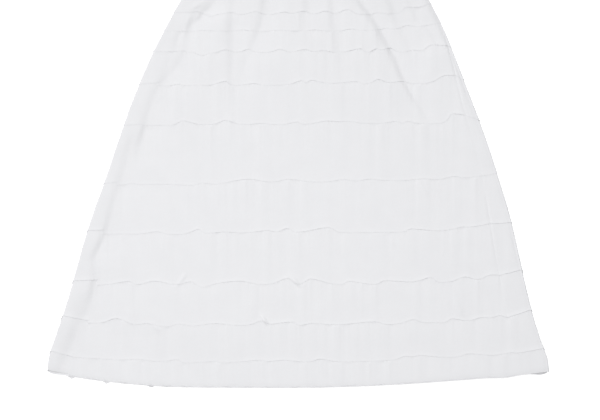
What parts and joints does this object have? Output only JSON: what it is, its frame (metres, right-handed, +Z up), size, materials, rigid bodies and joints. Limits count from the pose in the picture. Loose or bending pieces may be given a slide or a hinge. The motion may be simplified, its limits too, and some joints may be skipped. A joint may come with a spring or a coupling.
{
  "type": "tiered ruffle skirt",
  "caption": "White A-line skirt of gathered tiers with rippled free edges and a plain elastic waistband, laid out flat.",
  "frame": {"origin": "middle of the skirt's bounding box in plan, on the surface that it lies on", "axes": "+X across the skirt to its right side as seen from above, +Y up the skirt to the waist, +Z up off the surface"},
  "size_m": [0.8, 0.708, 0.0092],
  "materials": {
    "tier_cotton": "matt, fine plain weave",
    "band_cotton": "matt, gathered over elastic"
  },
  "bodies": {
    "root": {"waistband": "band_cotton", "front_tier_01": "tier_cotton", "front_tier_02": "tier_cotton", "front_tier_03": "tier_cotton", "front_tier_04": "tier_cotton", "front_tier_05": "tier_cotton", "front_tier_06": "tier_cotton", "front_tier_07": "tier_cotton", "front_tier_08": "tier_cotton", "front_tier_09": "tier_cotton", "front_tier_10": "tier_cotton", "front_tier_11": "tier_cotton", "back_tier_01": "tier_cotton", "back_tier_02": "tier_cotton", "back_tier_03": "tier_cotton", "back_tier_04": "tier_cotton", "back_tier_05": "tier_cotton", "back_tier_06": "tier_cotton", "back_tier_07": "tier_cotton", "back_tier_08": "tier_cotton", "back_tier_09": "tier_cotton", "back_tier_10": "tier_cotton", "back_tier_11": "tier_cotton"}
  },
  "joints": []
}
